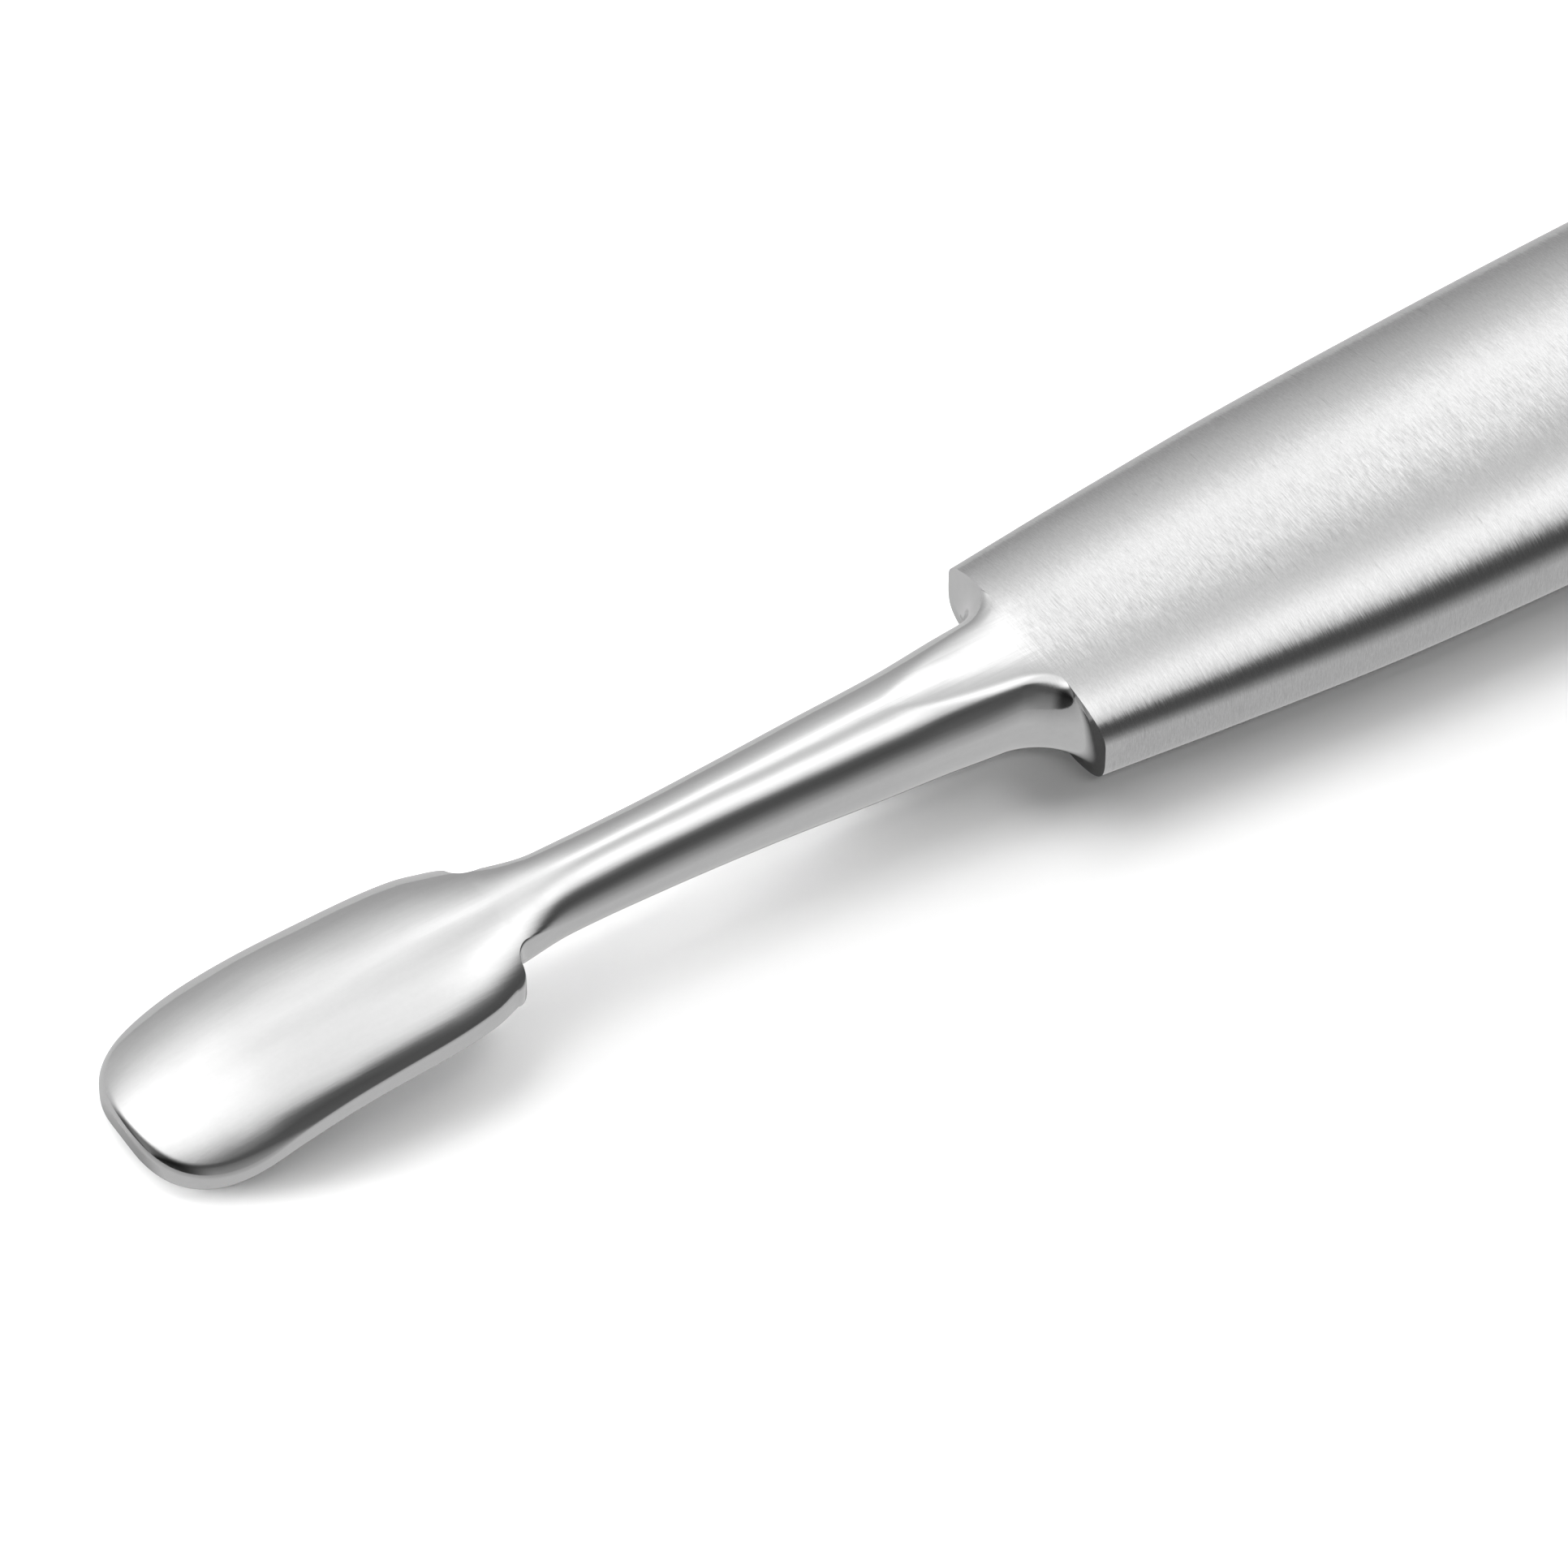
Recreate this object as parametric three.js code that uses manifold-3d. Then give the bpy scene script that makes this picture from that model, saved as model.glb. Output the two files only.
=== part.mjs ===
// Cuticle pusher: a working end (blade, neck, bolster and tang) pinned into a handle made of
// two thin shells around a core. Millimetres, +Z up. The tool lies along X with the blade at
// -X, and rests with the flat of its handle on z = 0.
import * as THREE from 'three';
import { mergeVertices } from 'three/addons/utils/BufferGeometryUtils.js';
import Module from 'manifold-3d';

const { clamp, lerp, smoothstep } = THREE.MathUtils;
const manifold = await Module();
manifold.setup();

// ---------------------------------------------------------------- overall
// "Behind" the shoulder is towards the butt (+X), "ahead" of it is towards the tip (-X).
const OVERALL_L = 120;
const HANDLE_L = 90;                 // shoulder to butt
const BLADE_L = 11.8;
const BOLSTER_L = 1.6;               // solid length behind the shoulder, flush with the shells
const NECK_L = OVERALL_L - HANDLE_L - BLADE_L;
const X_TIP = -OVERALL_L / 2;
const X_SHOULDER = X_TIP + OVERALL_L - HANDLE_L;
const X_SHELL = X_SHOULDER + BOLSTER_L;

// ---------------------------------------------------------------- handle outline
// [distance behind the shoulder, value]
const HALF_WIDTH = [
  [-2, 3.8], [0, 4.03], [5, 4.59], [10, 5.05], [15, 5.3], [22, 5.5],
  [30, 5.6], [42, 5.45], [58, 4.95], [72, 4.4], [84, 3.9], [90, 3.7],
];
const TOP_HEIGHT = [
  [-2, 2.8], [0, 2.86], [5, 3.02], [10, 3.17], [15, 3.32], [22, 3.5],
  [30, 3.6], [42, 3.6], [58, 3.4], [72, 3.1], [84, 2.85], [90, 2.75],
];
const EDGE_HEIGHT = [[-2, 1.78], [0, 1.75], [10, 1.6], [30, 1.95], [60, 1.85], [90, 1.5]];
const CROWN_POWER = 2.6;             // squareness above the widest line
const BELLY_POWER = 4.5;             // squareness below it
const FLAT_CUT = 0.05;               // depth taken off the underside to leave the flat
const BUTT_ROUND = 6.0;              // length of the butt rounding in plan
const BUTT_PILLOW = 2.2;             // length of the butt rounding seen from the side
const BUTT_MIN_WIDTH = 0.03;         // share of the width left at the very end
const BUTT_MIN_HEIGHT = 0.25;        // share of the height left there
const STATION_POWER = 1.15;          // above 1 crowds the handle stations towards the shoulder

// ---------------------------------------------------------------- neck
// [distance ahead of the shoulder, value]
const NECK_HALF = [
  [0, 2.05], [2, 1.95], [4, 1.77], [7, 1.61], [10, 1.46], [13, 1.37], [16, 1.35], [18, 1.57],
];
const RIDGE = [                      // height of the centre line of the top, on to the tip
  [0, 2.86], [3, 2.92], [6, 2.91], [9, 2.87], [12, 2.82], [15, 2.78],
  [18, 2.65], [21, 2.53], [24, 2.37], [26, 2.14], [28, 1.7], [30, 1.08],
];
const NECK_BOTTOM = [
  [0, 0.03], [2, 0.08], [5, 0.18], [9, 0.47], [13, 0.655], [16, 0.8], [18, 0.84],
];
const NECK_POWER = [[0, 2.7], [2, 2.5], [4, 2.4], [7, 2.35], [14, 2.1], [18, 2.4]];
// how far the round of the root would stand above the handle crown that caps it
const ROOT_RISE = [[0, 0.24], [1.5, 0.15], [3, 0.07], [5, 0], [18, 0]];
const ROOT_CROWN_GAIN = 1.2;         // per mm ahead: the cap grows rounder than the crown
const ROOT_BLEND = 0.5;              // softening of the cap's edge, as a share of the rise
const ROOT_FILLET_TOP = 1.1;
const ROOT_FILLET_BOTTOM = 2.2;
const FILLET_SLACK = 0.05;           // keeps the station at the fillet's start inside it

// ---------------------------------------------------------------- blade
// [distance from the tip, value]
const BLADE_HALF = [
  [0, 3.3], [4, 3.21], [7, 3.1], [9, 3.02], [10.4, 2.86], [11.3, 2.58], [12, 2.3],
];
const RIM_THICKNESS = [[0, 0.72], [3, 0.5], [6, 0.55], [12, 0.7]];
const SAG = [                        // camber: fall of the top from the ridge
  [0, 1.45], [2, 1.6], [4, 1.48], [6, 1.36], [9, 1.31], [12, 1.2],
];
const SAG_POWER = 1.86;              // squareness of the camber
const SAG_SPAN = 1.08;               // half span of the camber over the blade's half width
const SAG_NOSE = 0.55;               // share of the nose rounding that the span follows
const SAG_MIN_FROM_TIP = 0.05;       // the span stops narrowing this close to the tip
const SAG_LIMIT = 0.995;             // largest share of the span used
const NOSE_L = 3.6;                  // length of the rounded nose
const NOSE_POWER = 2.49;
const NOSE_START = 0.004;            // first station from the tip
const HEEL_FILLET = 0.6;
const HEEL_CORNER = 0.5;
// where neck turns into blade, [start, end] ahead of the shoulder
const TOP_CHANGE = [NECK_L - 2.4, NECK_L - 0.1];      // round top to camber
const BELLY_CHANGE = [NECK_L - 0.6, NECK_L + 2.6];    // neck belly fades into the blade
const BELLY_END_DEPTH = 0.9;         // depth at which it fades out, over the rim thickness

// ---------------------------------------------------------------- inside the handle
const WALL = 0.5;                    // shell thickness
const SEAM_Z = 1.75;                 // split plane of the shells
const CORE_GAP = 0.12;               // bonding film between core and shells
const CORE_INSET = WALL + CORE_GAP;
const CORE_SETBACK = 0.2;            // core starts this far behind the bolster
const TANG_W = 4.0;
const TANG_T = 0.9;
const TANG_L = 22;                   // behind the bolster
const TANG_Z = 1.62;                 // mid height of the tang
const TANG_OVERLAP = 0.4;            // length sunk into the bolster
const SLIT_CLEAR = 0.1;
const PIN_R = 0.7;
const PIN_CLEAR = 0.08;
const PIN_FRONT = 8.5;               // behind the shoulder
const PIN_REAR = 17;
const PIN_SHORT_BOTTOM = 0.02;       // pin ends lie this far inside the core
const PIN_SHORT_TOP = 0.12;

// extents of the cutting boxes, past the outside of the handle
const CUT_X = [X_SHELL - 1, 70];
const CUT_Y = [-10, 10];
const CUT_BOTTOM = -1;
const CUT_TOP = 10;

const ARC = 25;                      // points across the top and the bottom of a section
const ACROSS = Array.from({ length: ARC }, (_, i) =>
  Math.sin((-1 + 2 * i / (ARC - 1)) * Math.PI / 2));

// ---------------------------------------------------------------- curves
// Shape-preserving cubic through a table, held constant past its ends.
function curve(table) {
  const last = table.length - 1;
  const gap = [];
  const slope = [];
  for (let i = 0; i < last; i++) {
    gap[i] = table[i + 1][0] - table[i][0];
    slope[i] = (table[i + 1][1] - table[i][1]) / gap[i];
  }
  const tangent = new Array(last + 1).fill(0);
  for (let i = 1; i < last; i++) {
    if (slope[i - 1] * slope[i] <= 0) continue;
    const before = 2 * gap[i] + gap[i - 1];
    const after = gap[i] + 2 * gap[i - 1];
    tangent[i] = (before + after) / (before / slope[i - 1] + after / slope[i]);
  }
  tangent[0] = slope[0];
  tangent[last] = slope[last - 1];
  return (at) => {
    const x = clamp(at, table[0][0], table[last][0]);
    let i = 0;
    while (i < last - 1 && x >= table[i + 1][0]) i++;
    const t = (x - table[i][0]) / gap[i];
    const s = 1 - t;
    return (1 + 2 * t) * s * s * table[i][1] + t * s * s * gap[i] * tangent[i]
      + t * t * (3 - 2 * t) * table[i + 1][1] - t * t * s * gap[i] * tangent[i + 1];
  };
}

// Height of a unit superellipse at share q of its half width; power 2 is a circle.
const arch = (q, power) => Math.max(0, 1 - Math.abs(q) ** power) ** (1 / power);

// Angle of step i of a quarter turn.
const quarter = (i, steps) => i / steps * Math.PI / 2;

const halfWidth = curve(HALF_WIDTH);
const topHeight = curve(TOP_HEIGHT);
const edgeHeight = curve(EDGE_HEIGHT);
const neckHalf = curve(NECK_HALF);
const ridge = curve(RIDGE);
const neckBottom = curve(NECK_BOTTOM);
const neckPower = curve(NECK_POWER);
const rootRise = curve(ROOT_RISE);
const bladeWidth = curve(BLADE_HALF);
const rimThickness = curve(RIM_THICKNESS);
const sag = curve(SAG);

// ---------------------------------------------------------------- solids
function solid(source) {
  source.deleteAttribute('normal');
  source.deleteAttribute('uv');
  const geometry = mergeVertices(source, 1e-4);
  const index = geometry.index.array;
  const triangles = [];
  for (let i = 0; i < index.length; i += 3) {
    const [a, b, c] = index.slice(i, i + 3);
    if (a !== b && b !== c && a !== c) triangles.push(a, b, c);
  }
  return new manifold.Manifold(new manifold.Mesh({
    numProp: 3,
    vertProperties: Float32Array.from(geometry.attributes.position.array),
    triVerts: Uint32Array.from(triangles),
  }));
}

// One closed body from sections with the same number of points, in order of rising x:
// a cylinder blank whose rings are moved on to the sections.
function stack(sections) {
  const around = sections[0].length;
  const rows = sections.length - 1;
  const geometry = new THREE.CylinderGeometry(1, 1, 1, around, rows);
  const position = geometry.attributes.position;
  for (let i = 0; i < position.count; i++) {
    const x = position.getX(i);
    const z = position.getZ(i);
    const section = sections[Math.round((0.5 - position.getY(i)) * rows)];
    let target;
    if (Math.hypot(x, z) < 0.5) {
      // centre of an end cap
      target = new THREE.Vector3();
      section.forEach((point) => target.add(point));
      target.multiplyScalar(1 / around);
    } else {
      const step = Math.round(Math.atan2(x, z) / (2 * Math.PI) * around);
      target = section[(step + around) % around];
    }
    position.setXYZ(i, target.x, target.y, target.z);
  }
  return solid(geometry);
}

// Box between [low, high] limits on each axis.
function box(...limits) {
  const geometry = new THREE.BoxGeometry(...limits.map(([low, high]) => high - low));
  geometry.translate(...limits.map(([low, high]) => (low + high) / 2));
  return solid(geometry);
}

// Upright cylinder on the centre line.
function cylinder(behind, radius, bottom, top) {
  const geometry = new THREE.CylinderGeometry(radius, radius, top - bottom, 32);
  geometry.rotateX(Math.PI / 2);
  geometry.translate(X_SHOULDER + behind, 0, (bottom + top) / 2);
  return solid(geometry);
}

function drillPinHoles(body, bottom, top) {
  return [PIN_FRONT, PIN_REAR].reduce(
    (rest, behind) => rest.subtract(cylinder(behind, PIN_R + PIN_CLEAR, bottom, top)), body);
}

// ---------------------------------------------------------------- handle section
// Heights of the skin at share q of the half width; inset is the depth inside the outer skin.
function crownZ(behind, q, inset = 0) {
  const edge = edgeHeight(behind);
  return edge + (topHeight(behind) - inset - edge) * arch(q, CROWN_POWER);
}
function bellyZ(behind, q, inset = 0) {
  const edge = edgeHeight(behind);
  return Math.max(edge - (edge - inset + FLAT_CUT) * arch(q, BELLY_POWER), inset);
}
const skinTop = (behind, y) => crownZ(behind, y / halfWidth(behind));

// Ring from the -Y edge over the top to the +Y edge and back underneath.
function handleSection(x, inset) {
  const behind = x - X_SHOULDER;
  const end = HANDLE_L - inset;
  const buttShare = (length) => arch(Math.max(0, (behind - (end - length)) / length), 2);
  const half = (halfWidth(behind) - inset) * Math.max(buttShare(BUTT_ROUND), BUTT_MIN_WIDTH);
  const squash = Math.max(buttShare(BUTT_PILLOW), BUTT_MIN_HEIGHT);
  const middle = topHeight(behind) / 2;
  const point = (q, height) => new THREE.Vector3(
    x, half * q, middle + (height(behind, q, inset) - middle) * squash);
  return [
    ...ACROSS.map((q) => point(q, crownZ)),
    ...ACROSS.slice(1, -1).reverse().map((q) => point(q, bellyZ)),
  ];
}

// Handle-shaped body from start to butt.
function handleBody(start, inset) {
  const round = X_SHOULDER + HANDLE_L - inset - BUTT_ROUND;
  const stations = [];
  for (let i = 0; i < 20; i++) {
    stations.push(start + (round - start) * (i / 20) ** STATION_POWER);
  }
  for (let i = 0; i <= 9; i++) stations.push(round + BUTT_ROUND * Math.sin(quarter(i, 9)));
  return stack(stations.map((x) => handleSection(x, inset)));
}

// ---------------------------------------------------------------- working end
function bladeHalf(fromTip) {
  return bladeWidth(fromTip) * arch(1 - Math.min(fromTip / NOSE_L, 1), NOSE_POWER);
}

// Ring in the same order as a handle section; half is its half width.
function workingSection([x, half]) {
  const ahead = X_SHOULDER - x;
  const fromTip = x - X_TIP;
  const top = ridge(ahead);
  const bottom = neckBottom(ahead);
  const edge = (top + bottom) / 2;
  const power = neckPower(ahead);

  const rise = rootRise(ahead);
  const blend = Math.max(ROOT_BLEND * rise, 1e-6);
  const filleted = ahead < ROOT_FILLET_BOTTOM + FILLET_SLACK;
  // y on the root fillet, whose radius grows from the top to the bottom
  const filletY = (q, z) => {
    const depth = clamp((top - z) / (top - bottom), 0, 1);
    const radius = lerp(ROOT_FILLET_TOP, ROOT_FILLET_BOTTOM, depth);
    return q * (half + radius * (1 - arch(Math.max(radius - ahead, 0) / radius, 2)));
  };

  const camber = smoothstep(ahead, ...TOP_CHANGE);
  const span = SAG_SPAN * lerp(
    bladeWidth(fromTip), bladeHalf(Math.max(fromTip, SAG_MIN_FROM_TIP)), SAG_NOSE);
  const rim = rimThickness(fromTip);
  const fade = smoothstep(ahead, ...BELLY_CHANGE);
  const fadedBottom = lerp(bottom, top - rim * BELLY_END_DEPTH, fade);
  const fadedEdge = lerp(edge, top - rim * BELLY_END_DEPTH, fade);

  const upper = [];
  const lower = [];
  for (const q of ACROSS) {
    const bulge = arch(q, power);
    const round = edge + (top + rise - edge) * bulge;
    const y = filleted ? filletY(q, round) : half * q;
    // the crown of the handle, carried forward, caps the root
    const crownFall = topHeight(0) - skinTop(0, y);
    const cap = top - (1 + ROOT_CROWN_GAIN * ahead) * crownFall;
    const near = Math.max(blend - Math.abs(round - cap), 0) / blend;
    const capped = Math.min(round, cap) - near * near * blend / 4;
    const spanShare = Math.min(Math.abs(y) / span, SAG_LIMIT);
    const cambered = top - sag(fromTip) * (1 - arch(spanShare, SAG_POWER));
    const z = lerp(capped, cambered, camber);
    upper.push(new THREE.Vector3(x, y, z));

    if (filleted) {
      const under = edge - (edge - bottom) * bulge;
      lower.push(new THREE.Vector3(x, filletY(q, under), under));
    } else {
      // the neck's belly, carried under the blade as far as the neck's own width
      const share = Math.abs(y) / neckHalf(ahead);
      const belly = share < 1
        ? fadedEdge - (fadedEdge - fadedBottom) * arch(share, power)
        : Infinity;
      lower.push(new THREE.Vector3(x, y, Math.max(0, Math.min(z - rim * camber, belly))));
    }
  }
  return [...upper, ...lower.slice(1, -1).reverse()];
}

// [x, half width] from the tip to the shoulder
function workingStations() {
  const stations = [];
  const addBlade = (fromTip) => stations.push([X_TIP + fromTip, bladeHalf(fromTip)]);
  const addNeck = (x) => stations.push([x, neckHalf(X_SHOULDER - x)]);
  const neckEnd = X_SHOULDER - NECK_L;

  // nose
  for (let i = 0; i <= 12; i++) {
    addBlade(Math.max(NOSE_L * (1 - Math.cos(quarter(i, 12))), NOSE_START));
  }
  // long part of the blade
  const heel = neckEnd - HEEL_CORNER;
  const heelFromTip = heel - X_TIP;
  for (let i = 1; i <= 9; i++) addBlade(NOSE_L + (heelFromTip - NOSE_L) * i / 10);
  // heel corner, then the fillet into the neck
  const heelHalf = bladeHalf(heelFromTip);
  for (let i = 0; i <= 5; i++) {
    const angle = quarter(i, 5);
    stations.push([
      heel + HEEL_CORNER * Math.sin(angle), heelHalf - HEEL_CORNER * (1 - Math.cos(angle)),
    ]);
  }
  const neckStart = neckEnd + HEEL_FILLET;
  const filletHalf = neckHalf(X_SHOULDER - neckStart);
  for (let i = 1; i <= 5; i++) {
    const angle = quarter(i, 5);
    stations.push([
      neckEnd + HEEL_FILLET * (1 - Math.cos(angle)),
      filletHalf + HEEL_FILLET * (1 - Math.sin(angle)),
    ]);
  }
  // neck
  const rootStart = X_SHOULDER - ROOT_FILLET_BOTTOM;
  for (let i = 1; i <= 16; i++) addNeck(neckStart + (rootStart - neckStart) * i / 16);
  // root fillet
  for (let i = 1; i <= 9; i++) {
    addNeck(X_SHOULDER - ROOT_FILLET_BOTTOM * (1 - Math.sin(quarter(i, 9))));
  }
  return stations;
}

// Handle outline in the shoulder plane, on the +Y side, from the crown at yStart to the
// bottom centre. Returns the point at a share of its length.
function shoulderSide(yStart) {
  const half = halfWidth(0);
  const side = [new THREE.Vector3(X_SHOULDER, yStart, skinTop(0, yStart))];
  for (let i = 0; i <= 400; i++) {
    const angle = Math.PI / 2 * (1 - 2 * i / 400);
    const q = Math.cos(angle);
    const onCrown = angle >= 0;
    if (onCrown && half * q < yStart) continue;
    side.push(new THREE.Vector3(X_SHOULDER, half * q, (onCrown ? crownZ : bellyZ)(0, q)));
  }
  const lengths = [0];
  for (let i = 1; i < side.length; i++) {
    lengths.push(lengths[i - 1] + side[i].distanceTo(side[i - 1]));
  }
  return (share) => {
    const length = share * lengths.at(-1);
    let i = 0;
    while (i < lengths.length - 2 && lengths[i + 1] < length) i++;
    const t = (length - lengths[i]) / Math.max(lengths[i + 1] - lengths[i], 1e-9);
    return side[i].clone().lerp(side[i + 1], t);
  };
}

// Carries the root, which ends in the shoulder plane, out to the handle outline. Points
// already on the crown stay; the rest are spread evenly along each side.
function shoulderOutline(root) {
  const isFlush = (point) => Math.abs(point.z - skinTop(0, point.y)) < 1e-6
    && point.z > edgeHeight(0);
  const first = root.findIndex(isFlush);
  let last = first;
  while (last + 1 < ARC && isFlush(root[last + 1])) last++;
  const sidePoint = shoulderSide(root[last].y);
  const outline = [...root];
  const bottomCentre = (ARC - 1) * 3 / 2;
  const count = bottomCentre - last;
  for (let i = 1; i <= count; i++) {
    const point = sidePoint(i / count);
    outline[last + i] = point;
    outline[(first - i + root.length) % root.length] =
      new THREE.Vector3(point.x, -point.y, point.z);
  }
  return outline;
}

// The shoulder outline carried back along the handle skin.
function bolsterBack(outline) {
  return outline.map((point) => {
    const y = point.y * halfWidth(BOLSTER_L) / halfWidth(0);
    const z = point.z >= edgeHeight(0)
      ? skinTop(BOLSTER_L, y)
      : bellyZ(BOLSTER_L, point.y / halfWidth(0));
    return new THREE.Vector3(X_SHELL, y, z);
  });
}

function workingEnd() {
  const rings = workingStations().map(workingSection);
  const outline = shoulderOutline(rings.at(-1));
  const tang = box(
    [X_SHELL - TANG_OVERLAP, X_SHELL + TANG_L],
    [-TANG_W / 2, TANG_W / 2],
    [TANG_Z - TANG_T / 2, TANG_Z + TANG_T / 2],
  );
  const body = stack([...rings, outline, bolsterBack(outline)]).add(tang);
  return drillPinHoles(body, TANG_Z - 2, TANG_Z + 2);
}

// ---------------------------------------------------------------- handle parts
const tube = handleBody(X_SHELL, 0).subtract(handleBody(X_SHELL - 1, WALL));
const shell = (bottom, top) => tube.intersect(box(CUT_X, CUT_Y, [bottom, top]));

function core() {
  const slitHalf = TANG_T / 2 + SLIT_CLEAR;
  const slit = box(
    [CUT_X[0], X_SHELL + TANG_L + SLIT_CLEAR], CUT_Y, [TANG_Z - slitHalf, TANG_Z + slitHalf]);
  const body = handleBody(X_SHELL + CORE_SETBACK, CORE_INSET).subtract(slit);
  return drillPinHoles(body, -1, 5);
}

function pin(behind) {
  return cylinder(
    behind, PIN_R, CORE_INSET + PIN_SHORT_BOTTOM,
    topHeight(behind) - CORE_INSET - PIN_SHORT_TOP);
}

// ---------------------------------------------------------------- assembly
function metalMesh(name, body, { color, roughness }) {
  const { vertProperties, triVerts } = body.getMesh();
  const geometry = new THREE.BufferGeometry();
  geometry.setAttribute(
    'position', new THREE.BufferAttribute(Float32Array.from(vertProperties), 3));
  geometry.setIndex(Array.from(triVerts));
  geometry.computeVertexNormals();
  const material = new THREE.MeshStandardMaterial({ color, roughness, metalness: 1 });
  const mesh = new THREE.Mesh(geometry, material);
  mesh.name = name;
  return mesh;
}

const PIN_METAL = { color: 0x8d9094, roughness: 0.4 };

const group = new THREE.Group();
group.name = 'cuticle_pusher';
group.add(
  metalMesh('working_end', workingEnd(), { color: 0xc9cacc, roughness: 0.12 }),
  metalMesh('handle_upper_shell', shell(SEAM_Z, CUT_TOP), { color: 0xb9babc, roughness: 0.36 }),
  metalMesh('handle_lower_shell', shell(CUT_BOTTOM, SEAM_Z), { color: 0xb4b5b7, roughness: 0.36 }),
  metalMesh('handle_core', core(), { color: 0xa7abb0, roughness: 0.55 }),
  metalMesh('tang_pin_front', pin(PIN_FRONT), PIN_METAL),
  metalMesh('tang_pin_rear', pin(PIN_REAR), PIN_METAL),
);
export default group;
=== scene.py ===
"""A small steel hand tool: a thin hollowed blade on a slim neck, in front of a two-shell handle.

It lies along X on the table (z = 0): blade tip at x = -60, shoulder at -30, butt at +60.
The camera looks from the -y side, so "near" is -y and "far" is +y. Sizes are in mm.
"""

import math

import bmesh
import bpy
import numpy as np
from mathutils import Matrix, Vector


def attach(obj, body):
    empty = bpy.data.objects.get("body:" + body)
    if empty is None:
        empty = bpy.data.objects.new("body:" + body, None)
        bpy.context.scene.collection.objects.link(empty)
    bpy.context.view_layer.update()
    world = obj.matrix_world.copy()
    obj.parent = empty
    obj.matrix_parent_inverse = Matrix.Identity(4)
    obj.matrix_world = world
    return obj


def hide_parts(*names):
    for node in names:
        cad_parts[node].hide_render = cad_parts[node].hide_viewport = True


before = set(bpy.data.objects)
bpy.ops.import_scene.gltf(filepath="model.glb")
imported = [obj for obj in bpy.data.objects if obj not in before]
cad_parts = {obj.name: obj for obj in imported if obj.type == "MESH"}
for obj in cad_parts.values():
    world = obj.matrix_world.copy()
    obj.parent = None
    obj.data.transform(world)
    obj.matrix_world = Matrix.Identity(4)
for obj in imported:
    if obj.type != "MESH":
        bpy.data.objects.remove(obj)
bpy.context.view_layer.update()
MM = 0.001
QUARTER = math.pi / 2

# ------------------------------------------------------------------ main sizes
X_TIP, X_SHOULDER, HANDLE_L, BOLSTER_L = -60.0, -30.0, 90.0, 1.6
WORK_L = X_SHOULDER - X_TIP
X_BOLSTER = X_SHOULDER + BOLSTER_L    # the shells start here

# Handle tables: (distance behind the shoulder, value)
HALF_WIDTH = [
    (-2, 3.8), (0, 4.03), (5, 4.59), (10, 5.05), (15, 5.3), (22, 5.5),
    (30, 5.6), (42, 5.45), (58, 4.95), (72, 4.4), (84, 3.9), (90, 3.7)]
TOP_HEIGHT = [
    (-2, 2.8), (0, 2.86), (5, 3.02), (10, 3.17), (15, 3.32), (22, 3.5),
    (30, 3.6), (42, 3.6), (58, 3.4), (72, 3.1), (84, 2.85), (90, 2.75)]
EDGE_HEIGHT = [    # height of the widest line
    (-2, 1.78), (0, 1.75), (10, 1.6), (30, 1.95), (60, 1.85), (90, 1.5)]
CROWN_POWER, BELLY_POWER = 2.6, 4.5    # superellipse powers above and below the widest line
FLAT_CUT = 0.05                        # depth cut off the belly to leave it flat
BUTT_ROUND, BUTT_PILLOW = 6.0, 2.2     # rounding length of the butt in plan and in height

# Neck tables: (distance in front of the shoulder, value)
NECK_HALF = [
    (0, 2.05), (2, 1.95), (4, 1.77), (7, 1.61), (10, 1.46), (13, 1.37), (16, 1.35), (18, 1.57)]
RIDGE = [    # height of the centre line, on to the tip
    (0, 2.86), (3, 2.92), (6, 2.91), (9, 2.87), (12, 2.82), (15, 2.78),
    (18, 2.65), (21, 2.53), (24, 2.37), (26, 2.14), (28, 1.7), (30, 1.08)]
NECK_BOTTOM = [
    (0, 0.03), (2, 0.08), (5, 0.18), (9, 0.47), (13, 0.655), (16, 0.8), (18, 0.84)]
NECK_POWER = [(0, 2.7), (2, 2.5), (4, 2.4), (7, 2.35), (14, 2.1), (18, 2.4)]
ROOT_RISE = [(0, 0.24), (1.5, 0.15), (3, 0.07), (5, 0), (18, 0)]
ROOT_FILLET_TOP, ROOT_FILLET_BOTTOM, ROOT_CROWN_GAIN = 1.1, 2.2, 1.2
NECK_L = 18.2

# Blade tables: (distance behind the tip, value)
BLADE_HALF = [
    (0, 3.3), (4, 3.21), (7, 3.1), (9, 3.02), (10.4, 2.86), (11.3, 2.58), (12, 2.3)]
BLADE_T = [(0, 0.72), (3, 0.5), (6, 0.55), (12, 0.7)]    # thickness at the rim
SAG = [(0, 1.45), (2, 1.6), (4, 1.48), (6, 1.36), (9, 1.31), (12, 1.2)]
SAG_POWER, SAG_SPAN, SAG_NOSE = 1.86, 1.08, 0.55
NOSE_L, NOSE_POWER = 3.6, 2.49
HEEL_FILLET, HEEL_CORNER = 0.6, 0.5    # where the blade meets the neck

# Distances in front of the shoulder over which the neck changes into the blade
TOP_EASE = (NECK_L - 2.4, NECK_L - 0.1)
UNDER_EASE = (NECK_L - 0.6, NECK_L + 2.6)
ROLL_EASE = (NECK_L + 0.2, NECK_L + 1.4)

RIM_R, ROLL_NOSE, ROLL_SIDE = 0.07, 0.24, 0.05    # rim corners; roll of the upper blade edge
WALL, SEAM_Z = 0.5, 1.75
TANG_W, TANG_T, TANG_L, TANG_Z, TANG_BEVEL = 4.0, 0.9, 22.0, 1.62, 0.12

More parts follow.
